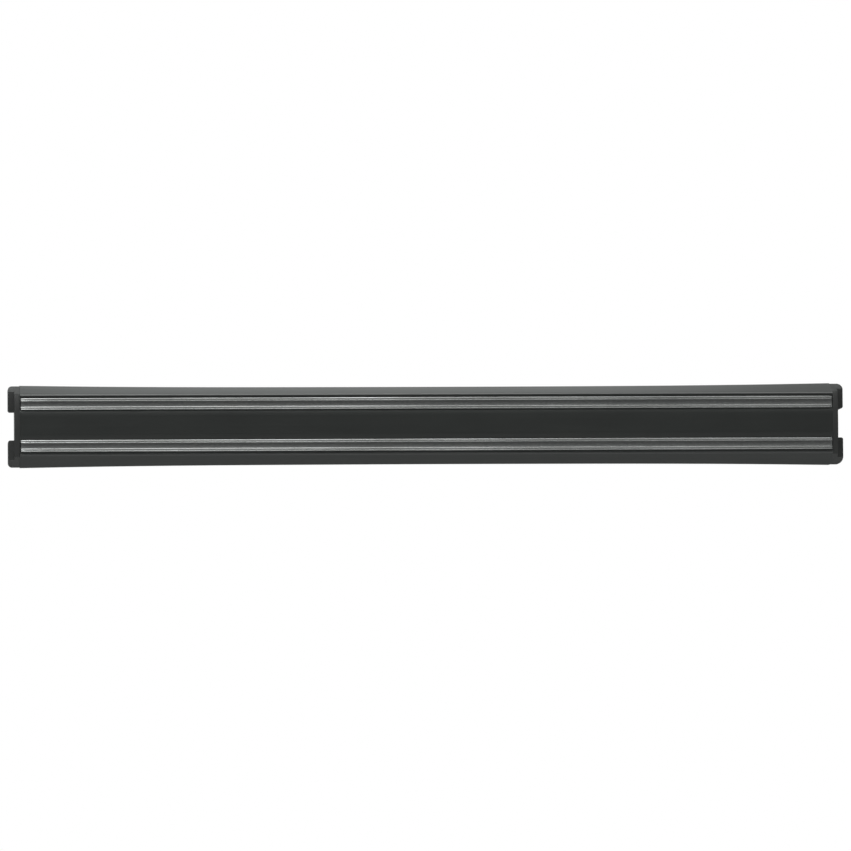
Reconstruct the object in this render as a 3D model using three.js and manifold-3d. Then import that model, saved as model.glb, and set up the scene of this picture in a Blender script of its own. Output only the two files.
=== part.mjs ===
// A wall-hung magnetic knife rack, in millimetres.
//
// A plastic body, extruded along X, has two deep pockets open to the front. Each pocket holds one
// magnetic rail: a row of ferrite magnets between two steel pole strips, with a filler strip closing
// the gap between the poles. A moulded cap closes each end. A flat steel tongue slides in the body's
// hollow spine at each end and comes out through the cap, between its two ears, to take a wall screw.
//
// +X runs along the rack and +Z is up. The wall is the plane y = 0, and the knives hang on the -Y
// side. "Depth" is the distance from the wall, so y = -depth. The origin is the centre of the back.

import * as THREE from "three";
import { mergeVertices } from "three/addons/utils/BufferGeometryUtils.js";
import Module from "manifold-3d";

const wasm = await Module();
wasm.setup();

// ---- Driving dimensions ----

const RACK_LENGTH = 500; // over the ears of the two caps
const BODY_LENGTH = 485.6;
const BODY_HEIGHT = 46.05; // at mid-length
const RACK_DEPTH = 24; // from the wall to the faces of the pole strips
const WALL = 1.6; // usual thickness of the body's webs and of the caps' walls
const SLIP = 0.1; // gap where one piece is pushed into another
const RUN = 0.3; // gap where one piece slides on another
const EDGE_RADIUS = 0.5; // usual round on an outer edge
const CRISP_RADIUS = 0.2; // round on the sharpest edges and in the corners
const OVERLAP = 1; // how far a solid reaches into, or past, the one that it joins or cuts
const MOST_ARC_STEPS = 6; // chords in the arc of a large rounded corner

// The legs of the caps push the body's two skirts apart, so they lean outwards towards the ends.
const END_SPREAD = 1.43; // outward lean of each skirt at the body's end
const SPREAD_REACH = 70; // how far along the body the lean has mostly gone
const SPREAD_POWER = 1.15; // above 1, the lean falls off gently next to the cap's legs
const SPREAD_END = 200; // how far along the body sections are needed to follow the lean
const SPREAD_SECTIONS = 10; // sections in that stretch, closest together at the body's end

// Magnetic rails
const RAIL_Z = 12.45; // height of a rail's middle above or below the rack's middle
const POLE_THICKNESS = 1.9;
const POLE_WIDTH = 13; // front to back
const POLE_EDGE_RADIUS = 0.45;
const MAGNET_THICKNESS = 3;
const MAGNET_WIDTH = 9.8; // front to back
const MAGNETS_PER_RAIL = 10;
const MAGNET_END_GAP = 0.4; // between one magnet and the next
const RAIL_LENGTH = 485;
const FILLER_RECESS = 1.1; // how far the filler lies behind the pole faces
const FILLER_DEPTH = 1.9;

// Body section
const SKIRT_DEPTH = 6.5; // depth at which the straight skirt turns into the sloping face
const SKIRT_THICKNESS = 1.8;
const SKIRT_RADIUS = 2.5;
const RETURN_LIP = 3; // the inward lip along each skirt's back edge
const LIP_DEPTH = 23; // the narrow flat lip between the sloping face and the pocket
const SLOPE_FRONT_Z = 18.1; // where the sloping face meets the lip
const LIP_RADIUS = 0.95; // between the two
const SLOPE_BULGE = 0.25; // height of the corner that the sloping face's slight bulge cuts off
const SLOPE_BULGE_RADIUS = 250;
const FACE_DEPTH = 23.3; // the flat face between the rails
const FACE_HALF_HEIGHT = 6.75; // to the corner that the face's rounded shoulders cut off
const FACE_RADIUS = 12.5; // of the shoulders, which take up most of the way to the pockets
const SHOULDER_DEPTH = 22.7; // where a shoulder meets the pocket
const GROOVE_DEPTH = 1.1; // the rebates beside the poles, measured back from the lip
const OUTER_GROOVE = 1.15; // width beside an outer pole
const INNER_GROOVE = 0.15; // width beside an inner pole
const SPINE_HALF_HEIGHT = 10.1; // outside of the hollow spine, behind the pockets
const SPINE_FRONT_HALF_HEIGHT = 6.75; // inside of the spine, between the pockets
const SPINE_CHAMFER_DEPTH = 1; // the chamfers in the spine's front corners
const SPINE_CHAMFER_HEIGHT = 1.6;
const BACK_WEB = 1.4;

// Tongues
const TONGUE_THICKNESS = 2;
const TONGUE_HALF_WIDTH = 8.2;
const TONGUE_LENGTH = 52;
const TONGUE_TRAVEL = 24; // outwards, until the stop comes up to the cap's leg
const TONGUE_CORNER = 3;
const STOP_HALF_WIDTH = 6.6; // the turned-up stop at the tongue's inner end
const STOP_TOP = 8.4; // depth that the stop reaches
const SCREW_HOLE_RADIUS = 2.6;
const COUNTERSINK_RADIUS = 4.4;
const HOLE_FROM_END = 8;
const HOLE_SIDES = 32;
const LEDGE = 1.5; // the ledges that keep the tongue at the back of the spine
const LEDGE_THICKNESS = 1;

// End caps
const CAP_GAP = 0.3; // between the body's end and the cap's plate
const CAP_INSET = 0.3; // how far the cap lies inside the body's outline
const CAP_PLATE = 3.15; // thickness of the plate that covers the body's end
const CROWN_RADIUS = 75; // of the plate's front, which bulges between its upper and lower edges
const CROWN_SIDES = 120; // flat sides in a full turn of the crown
const EAR_DEPTH = 16; // the ears stop short of the plate's front
const EAR_FRONT_RADIUS = 0.8;
const EAR_CORNER = 2.6;
const NOTCH_CORNER = 1.2;
const NOTCH_HALF_HEIGHT = 8.7;
const SKIRT_LEG_LENGTH = 12;
const LEG_WALL = 1.2;
const LEG_GAP = 0.5; // round the skirt legs at the body's end; further in, the body closes on them

// ---- Derived places ----

const BODY_END = BODY_LENGTH / 2;
const TOP_Z = BODY_HEIGHT / 2;
const POLE_OFFSET = (MAGNET_THICKNESS + POLE_THICKNESS) / 2 + SLIP / 2; // pole's middle from the rail's
const RAIL_HALF_HEIGHT = POLE_OFFSET + POLE_THICKNESS / 2;
const POLE_BACK = RACK_DEPTH - POLE_WIDTH;
const POCKET_FLOOR = POLE_BACK - SLIP;
const POCKET_TOP = RAIL_Z + RAIL_HALF_HEIGHT + SLIP;
const POCKET_BOTTOM = RAIL_Z - RAIL_HALF_HEIGHT - SLIP;
const FLOOR_BACK = POCKET_FLOOR - WALL;
const SLOPE_REACH = LIP_DEPTH - SKIRT_DEPTH; // front to back
const SLOPE = (TOP_Z - SLOPE_FRONT_Z) / SLOPE_REACH; // fall of the sloping face per mm of depth
const END_SLOPE = SLOPE + END_SPREAD / SLOPE_REACH; // the same at the body's ends
const TONGUE_BACK = BACK_WEB + RUN;
const TONGUE_FRONT = TONGUE_BACK + TONGUE_THICKNESS;
const CHANNEL_FRONT = TONGUE_FRONT + RUN;
const CHANNEL_HALF_HEIGHT = TONGUE_HALF_WIDTH + RUN;
const CAP_INNER = BODY_END + CAP_GAP;
const CAP_OUTER = CAP_INNER + CAP_PLATE;
const CAP_SIDE_Z = TOP_Z + END_SPREAD - CAP_INSET;
const CAP_SLOPE = (CAP_SIDE_Z - SLOPE_FRONT_Z) / SLOPE_REACH;
const EAR_END = RACK_LENGTH / 2;
const TONGUE_END = CAP_OUTER - CRISP_RADIUS; // at rest the tongue ends just inside the cap's outer face
const TONGUE_INNER_END = TONGUE_END - TONGUE_LENGTH;
const STOP_OUTER_SIDE = TONGUE_INNER_END + TONGUE_THICKNESS;
const SPINE_LEG_TIP = STOP_OUTER_SIDE + TONGUE_TRAVEL + RUN;
const SKIRT_LEG_TIP = CAP_INNER - SKIRT_LEG_LENGTH;

// ---- Outlines ----

// The points of a closed outline whose corners are given as [depth, z, radius], each corner rounded
// by an arc. Their number depends only on the radii, so outlines of one kind match point for point.
function roundedOutline(corners) {
  const points = corners.map(([depth, z]) => new THREE.Vector2(-depth, z));
  return corners.flatMap(([, , radius = 0], i) => {
    const corner = points[i];
    if (radius === 0) return [corner];
    const toLast = points.at(i - 1).clone().sub(corner).normalize();
    const toNext = points[(i + 1) % points.length].clone().sub(corner).normalize();
    const halfAngle = Math.acos(THREE.MathUtils.clamp(toLast.dot(toNext), -1, 1)) / 2;
    const inward = toLast.clone().add(toNext).normalize();
    const centre = corner.clone().addScaledVector(inward, radius / Math.sin(halfAngle));
    const start = corner.clone().addScaledVector(toLast, radius / Math.tan(halfAngle)).sub(centre);
    const turn = (Math.PI - 2 * halfAngle) * Math.sign(toNext.cross(toLast));
    const steps = Math.min(2 + Math.round(3 * radius), MOST_ARC_STEPS);
    return Array.from({ length: steps + 1 }, (_, k) =>
      start.clone().rotateAround(new THREE.Vector2(), (turn * k) / steps).add(centre),
    );
  });
}

// Adds the lower half of an outline whose upper half is given by corners from back to front.
function mirrored(upperCorners) {
  const lower = upperCorners.map(([depth, z, radius]) => [depth, -z, radius]).reverse();
  return [...upperCorners, ...lower];
}

const rectangle = (depth0, depth1, z0, z1) => [
  [depth0, z0],
  [depth0, z1],
  [depth1, z1],
  [depth1, z0],
];

// ---- Geometry helpers ----

// A shape drawn in the plane across the rack, extruded from x0 to x1.
function alongX(outline, x0, x1) {
  const shape = new THREE.Shape(outline);
  const geometry = new THREE.ExtrudeGeometry(shape, { depth: x1 - x0, bevelEnabled: false });
  const turn = new THREE.Matrix4().makeBasis(
    new THREE.Vector3(0, 1, 0),
    new THREE.Vector3(0, 0, 1),
    new THREE.Vector3(1, 0, 0),
  );
  return geometry.applyMatrix4(turn).translate(x0, 0, 0);
}

// A shape drawn as the rack is seen from behind, as points of (-x, z), extruded over a depth range.
function alongDepth(shape, depth0, depth1) {
  const geometry = new THREE.ExtrudeGeometry(shape, {
    depth: depth1 - depth0,
    bevelEnabled: false,
    curveSegments: 6,
  });
  return geometry.rotateX(Math.PI / 2).translate(0, -depth0, 0);
}

// A closed solid through matching sections, one at each station along X. A section is a list of
// loops: its outline, then its holes.
function loftAlongX(stations, sectionAt) {
  const sections = stations.map((x) => {
    const loops = sectionAt(x);
    return loops.map((loop, i) => {
      const isHole = i > 0;
      return THREE.ShapeUtils.isClockWise(loop) === isHole ? loop : loop.toReversed();
    });
  });
  const positions = sections.flatMap((loops, k) => loops.flat().flatMap((p) => [stations[k], p.x, p.y]));
  const ringSize = sections[0].flat().length;
  const indices = [];
  for (let k = 0; k + 1 < stations.length; k++) {
    let first = k * ringSize;
    for (const loop of sections[k]) {
      loop.forEach((_, i) => {
        const a = first + i;
        const b = first + ((i + 1) % loop.length);
        indices.push(a, b, b + ringSize, a, b + ringSize, a + ringSize);
      });
      first += loop.length;
    }
  }
  const lastRing = (stations.length - 1) * ringSize;
  const [outline, ...holes] = sections[0];
  for (const [a, b, c] of THREE.ShapeUtils.triangulateShape(outline, holes)) {
    indices.push(c, b, a);
    indices.push(lastRing + a, lastRing + b, lastRing + c);
  }
  return new THREE.BufferGeometry()
    .setAttribute("position", new THREE.Float32BufferAttribute(positions, 3))
    .setIndex(indices);
}

// A closed geometry as a manifold-3d solid, for joining and cutting.
function solidOf(geometry) {
  const bare = geometry.clone();
  bare.deleteAttribute("normal");
  bare.deleteAttribute("uv");
  const merged = mergeVertices(bare, 1e-4);
  const mesh = new wasm.Mesh({
    numProp: 3,
    vertProperties: merged.attributes.position.array,
    triVerts: merged.index.array,
  });
  return new wasm.Manifold(mesh);
}

function geometryOf(solid) {
  const { vertProperties, triVerts } = solid.getMesh();
  return new THREE.BufferGeometry()
    .setAttribute("position", new THREE.BufferAttribute(vertProperties, 3))
    .setIndex(new THREE.BufferAttribute(triVerts, 1));
}

const boxSolid = (x0, x1, depth0, depth1, z0, z1) =>
  solidOf(alongX(roundedOutline(rectangle(depth0, depth1, z0, z1)), x0, x1));

// ---- Body ----

// How far each skirt leans outwards at a place along the body.
function spreadAt(x) {
  const fromEnd = BODY_END - Math.abs(x);
  return END_SPREAD * Math.exp(-((fromEnd / SPREAD_REACH) ** SPREAD_POWER));
}

// The share of the lean that a skirt has at a depth: none at the lip, and all of it at the back.
function leanShare(depth) {
  return THREE.MathUtils.clamp((LIP_DEPTH - depth) / SLOPE_REACH, 0, 1);
}

function bodyOutline(spread) {
  const onSkirt = (depth, z, radius) => [depth, z + spread * leanShare(depth), radius];
  const skirtInside = TOP_Z - SKIRT_THICKNESS;
  const lipEnd = TOP_Z - RETURN_LIP;
  const pocketWallOutside = POCKET_TOP + WALL;
  const insideCorner = SKIRT_DEPTH - RUN; // a little behind the outside corner, to keep the thickness
  const meetDepth = insideCorner + (skirtInside - pocketWallOutside) / SLOPE;
  const slopeMiddle = (SKIRT_DEPTH + LIP_DEPTH) / 2;
  const slopeMiddleZ = (TOP_Z + SLOPE_FRONT_Z) / 2 + SLOPE_BULGE;
  const grooveBack = LIP_DEPTH - GROOVE_DEPTH;
  const grooveTop = POCKET_TOP + OUTER_GROOVE;
  const grooveBottom = POCKET_BOTTOM - INNER_GROOVE;
  const upper = [
    [0, SPINE_HALF_HEIGHT, EDGE_RADIUS],
    [FLOOR_BACK, SPINE_HALF_HEIGHT, EDGE_RADIUS],
    [FLOOR_BACK, pocketWallOutside, EDGE_RADIUS],
    onSkirt(meetDepth, pocketWallOutside),
    onSkirt(insideCorner, skirtInside, 2 * EDGE_RADIUS),
    onSkirt(WALL, skirtInside, CRISP_RADIUS),
    onSkirt(WALL, lipEnd, CRISP_RADIUS),
    onSkirt(0, lipEnd, CRISP_RADIUS),
    onSkirt(0, TOP_Z, EDGE_RADIUS),
    onSkirt(SKIRT_DEPTH, TOP_Z, SKIRT_RADIUS),
    onSkirt(slopeMiddle, slopeMiddleZ, SLOPE_BULGE_RADIUS),
    [LIP_DEPTH, SLOPE_FRONT_Z, LIP_RADIUS],
    [LIP_DEPTH, grooveTop, CRISP_RADIUS],
    [grooveBack, grooveTop],
    [grooveBack, POCKET_TOP],
    [POCKET_FLOOR, POCKET_TOP, CRISP_RADIUS],
    [POCKET_FLOOR, POCKET_BOTTOM, CRISP_RADIUS],
    [grooveBack, POCKET_BOTTOM],
    [grooveBack, grooveBottom],
    [SHOULDER_DEPTH, grooveBottom, CRISP_RADIUS],
    [FACE_DEPTH, FACE_HALF_HEIGHT, FACE_RADIUS],
  ];
  return roundedOutline(mirrored(upper));
}

// The inside of the spine: the tongue's channel at the back, two ledges, and the room in front.
function spineHole() {
  const ledgeInside = CHANNEL_HALF_HEIGHT - LEDGE;
  const ledgeFront = CHANNEL_FRONT + LEDGE_THICKNESS;
  const roomFront = FACE_DEPTH - WALL;
  return roundedOutline(
    mirrored([
      [BACK_WEB, CHANNEL_HALF_HEIGHT],
      [CHANNEL_FRONT, CHANNEL_HALF_HEIGHT],
      [CHANNEL_FRONT, ledgeInside],
      [ledgeFront, ledgeInside],
      [ledgeFront, CHANNEL_HALF_HEIGHT],
      [FLOOR_BACK, CHANNEL_HALF_HEIGHT],
      [FLOOR_BACK, SPINE_FRONT_HALF_HEIGHT],
      [roomFront - SPINE_CHAMFER_DEPTH, SPINE_FRONT_HALF_HEIGHT],
      [roomFront, SPINE_FRONT_HALF_HEIGHT - SPINE_CHAMFER_HEIGHT],
    ]),
  );
}

function bodyGeometry() {
  const left = [];
  for (let i = 0; i <= SPREAD_SECTIONS; i++) {
    left.push(SPREAD_END * (i / SPREAD_SECTIONS) ** 1.5 - BODY_END);
  }
  const right = left.map((x) => -x).reverse();
  return loftAlongX([...left, 0, ...right], (x) => [bodyOutline(spreadAt(x)), spineHole()]);
}

// ---- Magnetic rails ----

// One steel strip that stands on its back edge. Its front edges, which the knives touch, are rounded.
function poleGeometry() {
  const half = POLE_THICKNESS / 2;
  const outline = roundedOutline([
    [POLE_BACK, -half, CRISP_RADIUS],
    [POLE_BACK, half, CRISP_RADIUS],
    [RACK_DEPTH, half, POLE_EDGE_RADIUS],
    [RACK_DEPTH, -half, POLE_EDGE_RADIUS],
  ]);
  return alongX(outline, -RAIL_LENGTH / 2, RAIL_LENGTH / 2);
}

function fillerGeometry() {
  const front = RACK_DEPTH - FILLER_RECESS;
  const half = MAGNET_THICKNESS / 2;
  const outline = roundedOutline(rectangle(front - FILLER_DEPTH, front, -half, half));
  return alongX(outline, -RAIL_LENGTH / 2, RAIL_LENGTH / 2);
}

function magnetGeometry() {
  const half = MAGNET_THICKNESS / 2;
  const length = RAIL_LENGTH / MAGNETS_PER_RAIL - MAGNET_END_GAP;
  const outline = roundedOutline(rectangle(POLE_BACK, POLE_BACK + MAGNET_WIDTH, -half, half));
  return alongX(outline, -length / 2, length / 2);
}

// ---- Sliding tongue, drawn for the +X end ----

function tongueGeometry() {
  const cornerX = TONGUE_END - TONGUE_CORNER;
  const cornerZ = TONGUE_HALF_WIDTH - TONGUE_CORNER;
  const quarter = Math.PI / 2;
  const plateShape = new THREE.Shape();
  plateShape.moveTo(TONGUE_INNER_END, -TONGUE_HALF_WIDTH);
  plateShape.lineTo(cornerX, -TONGUE_HALF_WIDTH);
  plateShape.absarc(cornerX, -cornerZ, TONGUE_CORNER, -quarter, 0);
  plateShape.absarc(cornerX, cornerZ, TONGUE_CORNER, 0, quarter);
  plateShape.lineTo(TONGUE_INNER_END, TONGUE_HALF_WIDTH);
  const plate = solidOf(alongDepth(plateShape, TONGUE_BACK, TONGUE_FRONT));
  const stop = boxSolid(
    TONGUE_INNER_END,
    STOP_OUTER_SIDE,
    TONGUE_BACK,
    STOP_TOP,
    -STOP_HALF_WIDTH,
    STOP_HALF_WIDTH,
  );
  return geometryOf(plate.add(stop).subtract(countersunkHole(TONGUE_END - HOLE_FROM_END)));
}

// The tool that cuts a screw hole through the tongue, its 90 degree countersink opening to the front.
function countersunkHole(x) {
  const sinkDepth = COUNTERSINK_RADIUS - SCREW_HOLE_RADIUS;
  const profile = [
    [0, -OVERLAP],
    [SCREW_HOLE_RADIUS, -OVERLAP],
    [SCREW_HOLE_RADIUS, TONGUE_THICKNESS - sinkDepth],
    [COUNTERSINK_RADIUS + OVERLAP, TONGUE_THICKNESS + OVERLAP],
    [0, TONGUE_THICKNESS + OVERLAP],
  ].map(([radius, height]) => new THREE.Vector2(radius, height));
  const cutter = new THREE.LatheGeometry(profile, HOLE_SIDES);
  return solidOf(cutter.rotateX(Math.PI).translate(x, -TONGUE_BACK, 0));
}

// ---- End cap, drawn for the +X end ----

function endCapGeometry() {
  const channel = boxSolid(
    CAP_INNER - OVERLAP,
    CAP_OUTER + OVERLAP,
    BACK_WEB,
    CHANNEL_FRONT,
    -CHANNEL_HALF_HEIGHT,
    CHANNEL_HALF_HEIGHT,
  );
  const ears = capPrism(EAR_DEPTH, EAR_FRONT_RADIUS, CAP_INNER + OVERLAP, EAR_END);
  return geometryOf(
    capPlate()
      .add(ears.intersect(earFrontView()))
      .add(capLegs())
      .subtract(channel)
      .subtract(earPockets()),
  );
}

// A length of the cap's outside, which follows the body's, from the wall to a depth.
function capPrism(depth, frontRadius, x0, x1) {
  const outline = mirrored([
    [0, CAP_SIDE_Z, EDGE_RADIUS],
    [SKIRT_DEPTH, CAP_SIDE_Z, SKIRT_RADIUS],
    [depth, CAP_SIDE_Z - (depth - SKIRT_DEPTH) * CAP_SLOPE, frontRadius],
  ]);
  return solidOf(alongX(roundedOutline(outline), x0, x1));
}

// The plate that covers the body's end. Its front is part of a cylinder that lies along X.
function capPlate() {
  const crown = new THREE.CylinderGeometry(CROWN_RADIUS, CROWN_RADIUS, 3 * CAP_PLATE, CROWN_SIDES);
  crown.rotateZ(Math.PI / 2).translate(CAP_INNER, CROWN_RADIUS - FACE_DEPTH, 0);
  return capPrism(FACE_DEPTH + OVERLAP, 0, CAP_INNER, CAP_OUTER).intersect(solidOf(crown));
}

// The ears as seen from the front: their outer corners are rounded, and the notch lies between them.
function earFrontView() {
  const start = CAP_INNER + OVERLAP;
  const notchCornerX = EAR_END - NOTCH_CORNER;
  const earCornerX = EAR_END - EAR_CORNER;
  const ear = (sign) => {
    const notchCornerZ = sign * (NOTCH_HALF_HEIGHT + NOTCH_CORNER);
    const earCornerZ = sign * (CAP_SIDE_Z - EAR_CORNER);
    const turn = (sign * Math.PI) / 2;
    const clockwise = sign < 0;
    const shape = new THREE.Shape();
    shape.moveTo(start, sign * NOTCH_HALF_HEIGHT);
    shape.lineTo(notchCornerX, sign * NOTCH_HALF_HEIGHT);
    shape.absarc(notchCornerX, notchCornerZ, NOTCH_CORNER, -turn, 0, clockwise);
    shape.absarc(earCornerX, earCornerZ, EAR_CORNER, 0, turn, clockwise);
    shape.lineTo(start, sign * CAP_SIDE_Z);
    return solidOf(alongDepth(shape, -OVERLAP, RACK_DEPTH));
  };
  return ear(1).add(ear(-1));
}

// The hollows moulded into the ears from the back, which leave walls of an even thickness.
function earPockets() {
  const front = EAR_DEPTH - WALL;
  const inner = NOTCH_HALF_HEIGHT + WALL;
  const outer = CAP_SIDE_Z - WALL;
  const corners = [
    [-OVERLAP, inner],
    [-OVERLAP, outer],
    [SKIRT_DEPTH, outer],
    [front, outer - (front - SKIRT_DEPTH) * CAP_SLOPE],
    [front, inner],
  ];
  const pocket = (sign) => {
    const outline = roundedOutline(corners.map(([depth, z]) => [depth, sign * z]));
    return solidOf(alongX(outline, CAP_OUTER + EDGE_RADIUS, EAR_END - WALL));
  };
  return pocket(1).add(pocket(-1));
}

// Three hollow legs that hold the cap in the body: one in the spine and one behind each slope.
function capLegs() {
  return hollowLeg(SPINE_LEG_TIP, spineLegOutline)
    .add(hollowLeg(SKIRT_LEG_TIP, (inset) => skirtLegOutline(inset, 1)))
    .add(hollowLeg(SKIRT_LEG_TIP, (inset) => skirtLegOutline(inset, -1)));
}

// A leg that stands on the cap's plate. Its hollow is open at the leg's inner end.
function hollowLeg(tip, outlineAt) {
  const outside = alongX(roundedOutline(outlineAt(0)), tip, CAP_INNER + OVERLAP);
  const hollow = alongX(roundedOutline(outlineAt(LEG_WALL)), tip - OVERLAP, CAP_INNER);
  return solidOf(outside).subtract(solidOf(hollow));
}

function spineLegOutline(inset) {
  const half = SPINE_FRONT_HALF_HEIGHT - RUN - inset;
  const back = CHANNEL_FRONT + LEDGE_THICKNESS + RUN + inset;
  const front = FACE_DEPTH - WALL - SPINE_CHAMFER_DEPTH - RUN - inset;
  return rectangle(back, front, -half, half);
}

function skirtLegOutline(inset, sign) {
  const back = WALL + LEG_GAP + inset;
  const front = FLOOR_BACK - RUN - inset;
  const bend = SKIRT_DEPTH - LEG_GAP;
  const inner = SPINE_HALF_HEIGHT + LEG_GAP + inset;
  const outer = TOP_Z + END_SPREAD - SKIRT_THICKNESS - LEG_GAP - inset;
  return [
    [back, inner],
    [back, outer],
    [bend, outer],
    [front, outer - (front - bend) * END_SLOPE],
    [front, inner],
  ].map(([depth, z]) => [depth, sign * z]);
}

// ---- Materials ----

const material = (color, roughness, metalness) =>
  new THREE.MeshStandardMaterial({ color, roughness, metalness });
const bodyPlastic = material("#2b2d2c", 0.42, 0);
const capPlastic = material("#292828", 0.5, 0);
const poleSteel = material("#a9abaa", 0.3, 1);
const fillerPlastic = material("#3c3f3e", 0.6, 0);
const ferrite = material("#47474a", 0.75, 0);
const zincSteel = material("#b9bcc0", 0.35, 1);

// ---- Assembly ----

const rack = new THREE.Group();

function place(name, geometry, finish) {
  const mesh = new THREE.Mesh(geometry, finish);
  mesh.name = name;
  rack.add(mesh);
  return mesh;
}

// One magnetic rail, above or below the rack's middle.
function addRail(label, sign) {
  const outer = place(`pole_strip_${label}_outer`, poleGeometry(), poleSteel);
  const inner = place(`pole_strip_${label}_inner`, poleGeometry(), poleSteel);
  outer.position.z = sign * (RAIL_Z + POLE_OFFSET);
  inner.position.z = sign * (RAIL_Z - POLE_OFFSET);
  place(`gap_filler_${label}`, fillerGeometry(), fillerPlastic).position.z = sign * RAIL_Z;
  const pitch = RAIL_LENGTH / MAGNETS_PER_RAIL;
  for (let i = 0; i < MAGNETS_PER_RAIL; i++) {
    const number = String(i + 1).padStart(2, "0");
    const magnet = place(`magnet_${label}_${number}`, magnetGeometry(), ferrite);
    magnet.position.set((i + 0.5) * pitch - RAIL_LENGTH / 2, 0, sign * RAIL_Z);
  }
}

place("body", bodyGeometry(), bodyPlastic);
addRail("upper", 1);
addRail("lower", -1);

// The same cap and tongue serve both ends: the left ones are turned half round.
for (const [label, turn] of [
  ["right", 0],
  ["left", Math.PI],
]) {
  place(`end_cap_${label}`, endCapGeometry(), capPlastic).rotation.y = turn;
  place(`fixing_tongue_${label}`, tongueGeometry(), zincSteel).rotation.y = turn;
}

export default rack;
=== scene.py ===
"""The looks of a wall-hung magnetic knife rack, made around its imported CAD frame.

Everything is in metres in the row's frame: +X runs along the rack, +Z is up, and the wall is the
plane y = 0, with the knives on the -Y side. "Depth" is the distance from the wall, -y.
"""
import math

import bmesh
import bpy
from mathutils import Matrix, Vector, noise


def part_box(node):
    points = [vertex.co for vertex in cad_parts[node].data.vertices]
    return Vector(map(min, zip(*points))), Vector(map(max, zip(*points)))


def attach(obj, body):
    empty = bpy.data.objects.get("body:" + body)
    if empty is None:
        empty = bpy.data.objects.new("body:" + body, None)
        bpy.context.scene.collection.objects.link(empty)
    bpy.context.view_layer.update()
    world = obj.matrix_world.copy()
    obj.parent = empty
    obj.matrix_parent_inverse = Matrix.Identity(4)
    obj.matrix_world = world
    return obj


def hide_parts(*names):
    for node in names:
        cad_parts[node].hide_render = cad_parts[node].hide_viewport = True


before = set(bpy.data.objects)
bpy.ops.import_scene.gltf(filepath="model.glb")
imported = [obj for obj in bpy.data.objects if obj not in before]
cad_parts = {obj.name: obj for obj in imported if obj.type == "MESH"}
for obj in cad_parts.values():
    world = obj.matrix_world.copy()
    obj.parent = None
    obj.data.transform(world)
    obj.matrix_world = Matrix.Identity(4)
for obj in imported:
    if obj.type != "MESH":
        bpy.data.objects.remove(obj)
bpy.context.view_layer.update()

MM = 0.001


# ---- Mesh helpers ----

SAME_PLACE = 0.002 * MM  # vertices closer than this are one
FLAT_ENOUGH = math.radians(0.02)  # triangles that turn less than this are one face


def link_mesh(name, mesh, material, body, node):
    """Puts a finished mesh in the scene as the piece that stands for a CAD node."""
    piece = bpy.data.objects.new(name, mesh)
    bpy.context.scene.collection.objects.link(piece)
    mesh.materials.append(material)
    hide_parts(node)
    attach(piece, body)


def smooth_mesh(bm, name, sharp_angle):
    """A mesh that is shaded smooth except over edges sharper than an angle."""
    for face in bm.faces:
        face.smooth = True
    for edge in bm.edges:
        edge.smooth = len(edge.link_faces) == 2 and edge.calc_face_angle() < sharp_angle
    mesh = bpy.data.meshes.new(name)
    bm.to_mesh(mesh)
    bm.free()
    return mesh


def cad_bmesh(node):
    """The CAD node's surface with its triangles joined into flat faces."""
    bm = bmesh.new()
    bm.from_mesh(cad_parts[node].data)
    bmesh.ops.remove_doubles(bm, verts=bm.verts, dist=SAME_PLACE)
    bmesh.ops.dissolve_limit(
        bm,
        angle_limit=FLAT_ENOUGH,
        verts=bm.verts,
        edges=bm.edges,
        use_dissolve_boundaries=False,
    )
    return bm


def arc_outline(corners, steps):
    """Rounds the corners of a closed outline, given as (depth, z, radius)."""
    points = []
    for i, (depth, z, radius) in enumerate(corners):
        corner = Vector((depth, z))
        to_last = (Vector(corners[i - 1][:2]) - corner).normalized()
        to_next = (Vector(corners[(i + 1) % len(corners)][:2]) - corner).normalized()
        half = to_last.angle(to_next) / 2
        centre = corner + (to_last + to_next).normalized() * (radius / math.sin(half))
        start = corner + to_last * (radius / math.tan(half)) - centre
        turn = (math.pi - 2 * half) * (1 if to_last.x * to_next.y < to_last.y * to_next.x else -1)
        for k in range(steps + 1):
            step = start.copy()
            step.rotate(Matrix.Rotation(turn * k / steps, 2))
            points.append(centre + step)
    return points


def loft(stations, section_at):
    """A closed bmesh through sections of (depth, z) points, one at each station along X."""
    bm = bmesh.new()
    rings = [[bm.verts.new((x, -d, z)) for d, z in section_at(x)] for x in stations]
    for ring, after in zip(rings, rings[1:]):
        for i in range(len(ring)):
            j = (i + 1) % len(ring)
            bm.faces.new((ring[i], ring[j], after[j], after[i]))
    bm.faces.new(reversed(rings[0]))
    bm.faces.new(rings[-1])
    bmesh.ops.recalc_face_normals(bm, faces=bm.faces)
    return bm


# ---- Node helpers ----

EDGE_SAMPLES = 6
FULL_TURN_COSINE = 0.86  # of the turn at which an edge counts fully
FLAT_COSINE = 0.995  # of the turn below which it doesn't count


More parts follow.
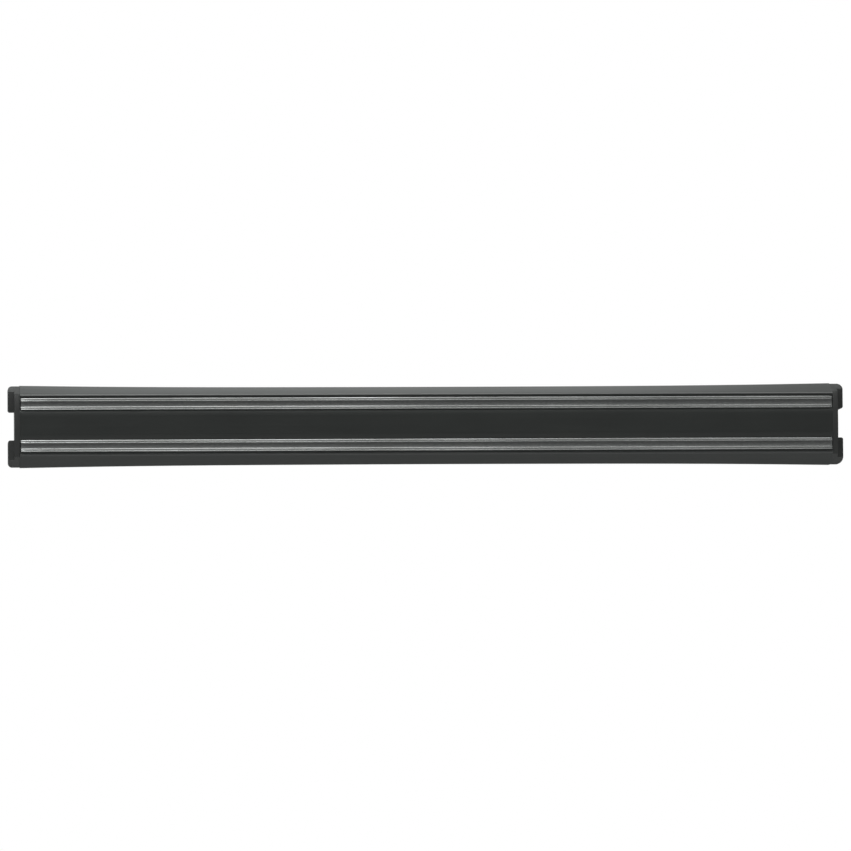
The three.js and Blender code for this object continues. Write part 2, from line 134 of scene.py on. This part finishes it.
class Nodes:
    """Adds nodes to a tree and joins them."""

    def __init__(self, tree):
        self.tree = tree

    def add(self, kind, settings=None, **inputs):
        """A new node with its settings and its inputs, which are values or other nodes' outputs."""
        node = self.tree.nodes.new(kind)
        for key, value in (settings or {}).items():
            setattr(node, key, value)
        for key, value in inputs.items():
            self.feed(node.inputs[key.replace("_", " ")], value)
        return node

    def feed(self, socket, value):
        if isinstance(value, bpy.types.NodeSocket):
            self.tree.links.new(value, socket)
        else:
            socket.default_value = value

    def math(self, operation, a, b):
        node = self.add("ShaderNodeMath", {"operation": operation})
        self.feed(node.inputs[0], a)
        self.feed(node.inputs[1], b)
        return node.outputs[0]

    def blend(self, factor, a, b):
        """Blends two numbers."""
        node = self.add("ShaderNodeMix")
        self.feed(node.inputs[0], factor)
        self.feed(node.inputs[2], a)
        self.feed(node.inputs[3], b)
        return node.outputs[0]

    def mix(self, factor, a, b):
        """Blends two colours."""
        node = self.add("ShaderNodeMix", {"data_type": "RGBA"})
        self.feed(node.inputs[0], factor)
        self.feed(node.inputs[6], a)
        self.feed(node.inputs[7], b)
        return node.outputs[2]

    def fit(self, value, low, high, start=0.3, end=0.7, curve="LINEAR"):
        """Maps the stretch of a value from start to end to the range low to high."""
        keys = {"Value": value, "From_Min": start, "From_Max": end, "To_Min": low, "To_Max": high}
        settings = {"clamp": True, "interpolation_type": curve}
        return self.add("ShaderNodeMapRange", settings, **keys).outputs[0]


class Finish(Nodes):
    """Builds one material's nodes around its Principled shader."""

    def __init__(self, name):
        self.material = bpy.data.materials.new(name)
        self.material.use_nodes = True
        super().__init__(self.material.node_tree)
        self.shader = self.tree.nodes["Principled BSDF"]
        self.place = self.add("ShaderNodeTexCoord").outputs["Object"]

    def set(self, **inputs):
        for key, value in inputs.items():
            self.feed(self.shader.inputs[key.replace("_", " ")], value)

    def axes(self):
        """The X, Y and Z of the point that is shaded."""
        return self.add("ShaderNodeSeparateXYZ", Vector=self.place).outputs

    def grain(self, grain_mm, detail=2.0, offset=0.0):
        """Noise from 0 to 1 whose grain measures so many millimetres along X, Y and Z."""
        scale = [1 / (size * MM) for size in grain_mm]
        moved = self.add(
            "ShaderNodeMapping",
            Vector=self.place,
            Location=(offset, offset, offset),
            Scale=scale,
        )
        texture = self.add("ShaderNodeTexNoise", Vector=moved.outputs[0], Scale=1.0, Detail=detail)
        return texture.outputs["Fac"]

    def edge_turning(self, radius_mm):
        """0 on flat faces, rising to 1 where the surface turns within the radius."""
        bevel = self.add("ShaderNodeBevel", {"samples": EDGE_SAMPLES}, Radius=radius_mm * MM)
        normal = self.add("ShaderNodeNewGeometry").outputs["Normal"]
        dot = self.add("ShaderNodeVectorMath", {"operation": "DOT_PRODUCT"})
        self.feed(dot.inputs[0], bevel.outputs[0])
        self.feed(dot.inputs[1], normal)
        return self.fit(dot.outputs["Value"], 1.0, 0.0, FULL_TURN_COSINE, FLAT_COSINE)

    def bump(self, *layers):
        """Adds up bump layers of (height from 0 to 1, depth in millimetres)."""
        normal = None
        for height, depth_mm in layers:
            node = self.add("ShaderNodeBump", Height=height, Distance=depth_mm * MM, Strength=1.0)
            if normal:
                self.feed(node.inputs["Normal"], normal)
            normal = node.outputs[0]
        self.set(Normal=normal)


def grey(value, tint=(1.0, 1.0, 1.0)):
    return tuple(value * part for part in tint) + (1.0,)


# ---- Materials ----

GREENISH = (0.95, 1.04, 0.99)
WARM = (1.03, 0.99, 0.98)
LAMP_TINT = (0.965, 1.0, 0.982)

# Where a tone fades in or out at the body's lips and grooves, from one depth or height to another.
GROOVE_DEPTH = (21.2 * MM, 21.5 * MM)
GROOVE_START = (15.7 * MM, 15.8 * MM)
LIP_END = (18.0 * MM, 18.4 * MM)
# by height, where the painted highlight on the upper lip's edge begins
LIP_HIGHLIGHT_START = (17.3 * MM, 17.6 * MM)
LEFT_GLARE_SPAN = (-240 * MM, -222 * MM)  # along X, from a painted highlight on the steel to its usual tone


def extruded_plastic():
    """Satin black plastic drawn through a die, with faint lines along its length.

    The lips and the grooves beside the poles are lighter, and a painted highlight runs along the upper
    lip's edge.
    """
    look = Finish("extruded_plastic")
    die_lines = look.grain((160, 0.35, 0.35), detail=4.0)
    cloud = look.grain((38, 14, 14), detail=3.0, offset=5.0)
    pores = look.grain((0.16, 0.16, 0.16), detail=1.0)
    scuffs = look.fit(look.grain((9, 0.5, 0.22), detail=3.0, offset=2.0), 0.0, 1.0, 0.66, 0.78)
    # Edges lighter where they turn: partly wear, partly a painted sheen along them
    edge_lightening = look.math("MULTIPLY", look.edge_turning(0.35), look.fit(cloud, 0.25, 1.0))
    base = look.mix(look.fit(cloud, 0.0, 1.0), grey(0.0075, GREENISH), grey(0.0105, GREENISH))
    worn_and_sheened = look.mix(look.math("MULTIPLY", edge_lightening, 0.55), base, grey(0.026))
    scuffed = look.mix(look.math("MULTIPLY", scuffs, 0.35), worn_and_sheened, grey(0.024))
    _, y, z = look.axes()
    height = look.math("ABSOLUTE", z, 0.0)
    front = look.fit(look.math("MULTIPLY", y, -1.0), 0.0, 1.0, *GROOVE_DEPTH)
    inner = look.fit(height, 0.0, 1.0, *GROOVE_START)
    outer = look.fit(height, 1.0, 0.0, *LIP_END)
    lips = look.math("MULTIPLY", front, look.math("MULTIPLY", inner, outer))
    # A painted highlight along the upper lip's edge, where the light from above catches it
    painted_lip_highlight = look.math("MULTIPLY", lips, look.fit(z, 0.0, 1.0, *LIP_HIGHLIGHT_START))
    # Lighter on the lips and in the grooves beside the poles
    lips_lightened = look.mix(lips, scuffed, grey(0.024))
    lip_highlighted = look.mix(painted_lip_highlight, lips_lightened, grey(0.085))
    roughness = look.fit(die_lines, 0.33, 0.43)
    look.set(
        Base_Color=lip_highlighted,
        Roughness=look.math("ADD", roughness, look.math("MULTIPLY", scuffs, 0.12)),
        IOR=1.47,
    )
    look.bump((die_lines, 0.010), (pores, 0.003), (cloud, 0.06))
    return look.material


def moulded_plastic():
    """The caps' black plastic, with the fine even texture of a spark-eroded mould."""
    look = Finish("moulded_plastic")
    texture = look.grain((0.22, 0.22, 0.22), detail=2.0)
    cloud = look.grain((9, 9, 9), detail=3.0, offset=3.0)
    edge_lightening = look.math("MULTIPLY", look.edge_turning(0.5), look.fit(cloud, 0.3, 1.0))
    base = look.mix(look.fit(cloud, 0.0, 1.0), grey(0.0085, WARM), grey(0.0115, WARM))
    look.set(
        Base_Color=look.mix(look.math("MULTIPLY", edge_lightening, 0.5), base, grey(0.027)),
        Roughness=look.fit(cloud, 0.42, 0.52),
        IOR=1.49,
    )
    look.bump((texture, 0.012), (cloud, 0.04))
    return look.material


def pole_steel():
    """Mild steel strip, ground along its length, with dull patches and knife marks across it."""
    look = Finish("pole_steel")
    grinding = look.grain((45, 0.09, 0.09), detail=4.0)
    patches = look.grain((110, 6.0, 6.0), detail=4.0, offset=7.0)
    marks = look.fit(look.grain((0.35, 4.0, 5.0), detail=2.0, offset=1.0), 0.0, 1.0, 0.66, 0.74)
    specks = look.fit(look.grain((0.7, 0.7, 0.35), detail=3.0, offset=9.0), 0.0, 1.0, 0.68, 0.75)
    edge_lightening = look.edge_turning(0.3)
    dull = grey(0.265, (1.0, 1.0, 0.985))
    tone = look.mix(look.fit(patches, 0.0, 1.0, 0.35, 0.65), dull, grey(0.445))
    # A painted highlight brightens the strips towards their left end, standing in for the light that
    # falls there
    tone = look.mix(look.fit(look.axes()["X"], 1.0, 0.0, *LEFT_GLARE_SPAN), tone, grey(0.44))
    dulled = look.mix(look.math("MULTIPLY", specks, 0.5), tone, grey(0.16, (1.05, 1.0, 0.93)))
    # Edges painted lighter: partly wear, partly a painted highlight for the bright lines along both
    # edges
    worn_and_highlit = look.mix(look.math("MULTIPLY", edge_lightening, 0.7), dulled, grey(0.66))
    roughness = look.math("ADD", look.fit(patches, 0.27, 0.17), look.fit(grinding, -0.03, 0.04))
    look.set(
        Base_Color=worn_and_highlit,
        Metallic=1.0,
        Roughness=look.math("ADD", roughness, look.math("MULTIPLY", marks, 0.10)),
        Anisotropic=0.35,
    )
    look.bump((grinding, 0.006), (marks, 0.008), (patches, 0.012))
    return look.material


def filler_resin():
    """The dark grey filler between the poles, matt and slightly uneven."""
    look = Finish("filler_resin")
    ripple = look.grain((7, 1.2, 1.2), detail=3.0)
    dust = look.fit(look.grain((1.6, 0.4, 0.4), detail=4.0, offset=4.0), 0.0, 1.0, 0.45, 0.75)
    look.set(
        Base_Color=look.mix(dust, grey(0.07), grey(0.125)),
        Roughness=look.fit(ripple, 0.42, 0.6),
    )
    look.bump((ripple, 0.07), (dust, 0.01))
    return look.material


def zinc_plate():
    """Bright zinc-plated steel with a faint blue spangle and rolled grain."""
    look = Finish("zinc_plate")
    spangle = look.add("ShaderNodeTexVoronoi", Vector=look.place, Scale=700.0).outputs["Color"]
    rolled = look.grain((14, 0.2, 0.2), detail=4.0)
    blue = (0.58, 0.61, 0.66, 1)
    pale = (0.74, 0.75, 0.76, 1)
    tint = look.mix(look.fit(spangle, 0.0, 1.0, 0.2, 0.9), blue, pale)
    look.set(
        Base_Color=look.mix(look.math("MULTIPLY", look.edge_turning(0.3), 0.6), tint, grey(0.8)),
        Metallic=1.0,
        Roughness=look.fit(rolled, 0.26, 0.42),
    )
    look.bump((rolled, 0.008), (look.grain((0.5, 0.5, 0.5)), 0.006))
    return look.material


def ferrite():
    """Pressed and sintered ferrite: dark grey, dull and slightly grainy."""
    look = Finish("ferrite")
    grain = look.grain((0.3, 0.3, 0.3), detail=5.0)
    look.set(
        Base_Color=look.mix(look.fit(grain, 0.0, 1.0), grey(0.05), grey(0.09, (1.0, 0.99, 0.97))),
        Roughness=look.fit(grain, 0.55, 0.75),
    )
    look.bump((grain, 0.02))
    return look.material


# ---- Pieces ----

BODY_LONGER_MM = 0.2  # at each end, so that no daylight shows in the seam next to the cap
CAP_EDGE_MM = 0.35
TONGUE_EDGE_MM = 0.18
END_BAND = 0.01 * MM  # vertices this close to a piece's end belong to its end face
SHARP_TURN = math.radians(38)  # edges that turn further than this are rounded
SKIN_CREASE = math.radians(32)  # edges that turn further than this are shaded sharp
LOFT_CREASE = math.radians(60)

STATIONS = 240  # pieces along a rail
ARC_STEPS = 6
BACK_ROUND = 0.15 * MM  # on the back edges of a pole strip
EDGE_ROUND = 0.36 * MM  # on its front edges
EDGE_VARIES = 0.03 * MM
EDGE_WAVE = 70 * MM  # how far along the strip its edges take to vary
END_EASE = 0.45 * MM  # how far its front falls back at each end
END_EASE_REACH = 0.9 * MM
END_NARROWS = 0.3  # share of that by which each side draws in
STRIP_SEED = 3.7  # so that the four strips vary differently
HOLLOW_FALL = 0.13 * MM  # how far the middle of its front lies behind the edges
HOLLOW_STEPS = 10

FILLER_SLIP = 0.01 * MM  # between the filler and each pole
FILLER_STEPS = 12
SAG = 0.42 * MM  # how far its middle lies behind its edges
SAG_VARIES = 0.14 * MM
SAG_WAVE = 18 * MM
RISE = 0.30 * MM  # how far its edges climb up the poles
RISE_VARIES = 0.12 * MM
RISE_WAVE = 11 * MM


def turns_sharply(edge):
    return len(edge.link_faces) == 2 and edge.calc_face_angle() > SHARP_TURN


def along(low, high):
    """Evenly spaced places along X, from one end of a box to the other."""
    return [low.x + (high.x - low.x) * k / STATIONS for k in range(STATIONS + 1)]


def skin_of(node, name, material, body, edge_mm=0.0, longer_mm=0.0):
    """A copy of a CAD node's shape, which can be longer at each end and rounded on its sharp edges."""
    bm = cad_bmesh(node)
    if longer_mm:
        end = max(vert.co.x for vert in bm.verts)
        for vert in bm.verts:
            if abs(vert.co.x) > end - END_BAND:
                vert.co.x += math.copysign(longer_mm * MM, vert.co.x)
    if edge_mm:
        bmesh.ops.bevel(
            bm,
            geom=[edge for edge in bm.edges if turns_sharply(edge)],
            offset=edge_mm * MM,
            segments=3,
            profile=0.6,
            affect="EDGES",
            clamp_overlap=True,
        )
        bmesh.ops.remove_doubles(bm, verts=bm.verts, dist=SAME_PLACE)
    link_mesh(name, smooth_mesh(bm, name, SKIN_CREASE), material, body, node)


def pole_strip(node, material):
    """A steel strip whose front is rounded at its edges and ground slightly hollow between them."""
    low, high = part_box(node)
    back, front = -high.y, -low.y
    middle = (low.z + high.z) / 2
    half = (high.z - low.z) / 2
    seed = middle / MM * STRIP_SEED

    def section(x):
        from_end = min(x - low.x, high.x - x)
        ease = END_EASE * max(0.0, 1 - from_end / END_EASE_REACH) ** 2
        upper = EDGE_ROUND + EDGE_VARIES * noise.noise((x / EDGE_WAVE, seed, 0))
        lower = EDGE_ROUND + EDGE_VARIES * noise.noise((x / EDGE_WAVE, seed, 9))
        top = half - END_NARROWS * ease
        corners = [
            (back, middle - top, BACK_ROUND),
            (back, middle + top, BACK_ROUND),
            (front - ease, middle + top, upper),
            (front - ease, middle - top, lower),
        ]
        points = arc_outline(corners, ARC_STEPS)
        last_arc = 3 * (ARC_STEPS + 1)
        start, end = points[last_arc - 1], points[last_arc]
        hollow = []
        for k in range(1, HOLLOW_STEPS):
            across = start.lerp(end, k / HOLLOW_STEPS)
            fall = HOLLOW_FALL * (1 - (2 * k / HOLLOW_STEPS - 1) ** 2)
            hollow.append(Vector((across.x - fall, across.y)))
        return [*points[:last_arc], *hollow, *points[last_arc:]]

    bm = loft(along(low, high), section)
    link_mesh(f"{node}_ground", smooth_mesh(bm, node, LOFT_CREASE), material, "rack", node)


def gap_filler(node, material):
    """The filler's front sags between the poles and climbs a little up their sides."""
    low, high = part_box(node)
    back, front = -high.y, -low.y
    middle = (low.z + high.z) / 2
    half = (high.z - low.z) / 2 - FILLER_SLIP

    def section(x):
        sag = SAG + SAG_VARIES * noise.noise((x / SAG_WAVE, middle / MM, 2))
        rise = RISE + RISE_VARIES * noise.noise((x / RISE_WAVE, middle / MM, 5))
        points = [(back, middle - half), (back, middle + half)]
        for k in range(FILLER_STEPS + 1):
            t = 1 - 2 * k / FILLER_STEPS
            points.append((front + rise - sag * (1 - t * t) ** 0.5, middle + half * t))
        return points

    bm = loft(along(low, high), section)
    link_mesh(f"{node}_resin", smooth_mesh(bm, node, LOFT_CREASE), material, "rack", node)


def build_rack():
    black = extruded_plastic()
    cap_black = moulded_plastic()
    steel = pole_steel()
    resin = filler_resin()
    zinc = zinc_plate()
    magnet_black = ferrite()
    skin_of("body", "body_extrusion", black, "rack", longer_mm=BODY_LONGER_MM)
    for side in ("left", "right"):
        cap, tongue = f"end_cap_{side}", f"fixing_tongue_{side}"
        skin_of(cap, f"{cap}_moulding", cap_black, "rack", edge_mm=CAP_EDGE_MM)
        skin_of(tongue, f"{tongue}_plated", zinc, f"tongue_{side}", edge_mm=TONGUE_EDGE_MM)
    for rail in ("upper", "lower"):
        for place in ("outer", "inner"):
            pole_strip(f"pole_strip_{rail}_{place}", steel)
        gap_filler(f"gap_filler_{rail}", resin)
    for name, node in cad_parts.items():
        if name.startswith("magnet"):
            node.data.materials.clear()
            node.data.materials.append(magnet_black)


# ---- Stage, light and camera ----

CAMERA_DISTANCE = 4.8
CAMERA_ELEVATION = math.radians(-3.2)
CAMERA_AZIMUTH = math.radians(-4.2)
CAMERA_ROLL = math.radians(-0.443)
VIEW_HALF_WIDTH = 0.2550  # of what the camera sees at the rack
FIELD_OF_VIEW = 2 * math.atan(VIEW_HALF_WIDTH / CAMERA_DISTANCE)
FLOOR_Z = -0.45
FLOOR_HALF = 5.0  # from its middle to its edges
CAMERA_TARGET = Vector((0.0002, 0, 0.00022))


def studio_floor():
    """A pale floor, which throws back the most light beneath the rack and little from behind it."""
    mesh = bpy.data.meshes.new("studio_floor")
    signs = [(-1, -1), (1, -1), (1, 1), (-1, 1)]
    corners = [(x * FLOOR_HALF, y * FLOOR_HALF, FLOOR_Z) for x, y in signs]
    mesh.from_pydata(corners, [], [(0, 1, 2, 3)])
    floor = bpy.data.objects.new("studio_floor", mesh)
    bpy.context.scene.collection.objects.link(floor)
    look = Finish("studio_floor")
    seen = look.add("ShaderNodeLightPath").outputs["Is Camera Ray"]
    mottle = look.fit(look.grain((60, 60, 60), detail=3.0), 0.0, 1.0)
    pale = look.mix(mottle, grey(0.90), grey(0.93))
    y = look.axes()["Y"]
    beneath = look.fit(y, 0.0, 1.0, -0.15, -0.07)
    behind = look.fit(y, 0.0, 1.0, 0.08, 0.2)
    far = look.fit(y, 0.28, 0.10, 0.35, 0.8)
    bounced = look.mix(behind, look.mix(beneath, grey(0.45), grey(0.95)), far)
    card = look.math("MULTIPLY", beneath, look.math("SUBTRACT", 1.0, behind))
    glow = look.math("MULTIPLY", seen, 0.3)
    look.set(
        Base_Color=look.mix(seen, bounced, pale),
        Roughness=0.9,
        Emission_Color=grey(1.0),
        Emission_Strength=look.math("ADD", glow, look.math("MULTIPLY", card, 0.5)),
    )
    mesh.materials.append(look.material)


def studio_world():
    """White to the camera; its light is stronger from above and behind, and from the left."""
    world = bpy.data.worlds.new("studio")
    world.use_nodes = True
    bpy.context.scene.world = world
    sky = Nodes(world.node_tree)
    sky.tree.nodes.clear()
    direction = sky.add("ShaderNodeTexCoord").outputs["Generated"]
    x, y, z = sky.add("ShaderNodeSeparateXYZ", Vector=direction).outputs
    slant = sky.math("ADD", sky.math("MULTIPLY", y, 0.5), z)
    dome = sky.fit(slant, 0.0, 0.32, -0.25, 0.75, "SMOOTHSTEP")
    front = sky.fit(x, 0.36, 0.12, -0.30, 0.30, "SMOOTHSTEP")
    seen = sky.add("ShaderNodeLightPath").outputs["Is Camera Ray"]
    strength = sky.blend(seen, sky.math("ADD", dome, front), 1.0)
    tint = sky.mix(seen, (*LAMP_TINT, 1.0), grey(1.0))
    background = sky.add("ShaderNodeBackground", Color=tint, Strength=strength)
    sky.add("ShaderNodeOutputWorld", Surface=background.outputs[0])


def soft_light(name, place, aim, size, power):
    """A rectangular soft box that faces a point."""
    light = bpy.data.lights.new(name, "AREA")
    light.shape = "RECTANGLE"
    light.size, light.size_y = size
    light.energy = power
    light.color = LAMP_TINT
    lamp = bpy.data.objects.new(name, light)
    bpy.context.scene.collection.objects.link(lamp)
    lamp.visible_camera = False
    lamp.location = place
    lamp.rotation_euler = (Vector(aim) - Vector(place)).to_track_quat("-Z", "Y").to_euler()


def camera_view():
    """Almost square on, from a little to the left of the rack's middle and a little below it."""
    camera = bpy.data.cameras.new("camera")
    camera.sensor_fit = "HORIZONTAL"
    camera.angle = FIELD_OF_VIEW
    viewer = bpy.data.objects.new("camera", camera)
    bpy.context.scene.collection.objects.link(viewer)
    level = math.cos(CAMERA_ELEVATION)
    across = level * math.sin(CAMERA_AZIMUTH)
    away = -level * math.cos(CAMERA_AZIMUTH)
    offset = Vector((across, away, math.sin(CAMERA_ELEVATION))) * CAMERA_DISTANCE
    viewer.location = CAMERA_TARGET + offset
    turn = (-offset).to_track_quat("-Z", "Y").to_matrix() @ Matrix.Rotation(CAMERA_ROLL, 3, "Z")
    viewer.rotation_euler = turn.to_euler()
    bpy.context.scene.camera = viewer


VEIL = 0.007  # added to every colour, as linear light


def develop():
    """Plain colours, with the faint even veil that so much white behind a dark object leaves on it."""
    settings = bpy.context.scene.view_settings
    settings.view_transform = "Standard"
    settings.use_curve_mapping = True
    settings.curve_mapping.black_level = [-part for part in grey(VEIL, GREENISH)[:3]]
    settings.curve_mapping.update()


build_rack()
studio_floor()
studio_world()
soft_light("ceiling_panel", (-0.675, -1.1, 1.7), (-0.675, -1.1, 0.0), (1.65, 2.3), 52.0)
soft_light("right_panel", (0.7, -1.3, 1.7), (0.4, -0.6, 0.0), (1.0, 0.7), 6.0)
soft_light("backdrop_glow", (0.0, 1.1, 0.75), (0.0, 0.0, 0.0), (0.65, 0.9), 0.72)
camera_view()
develop()
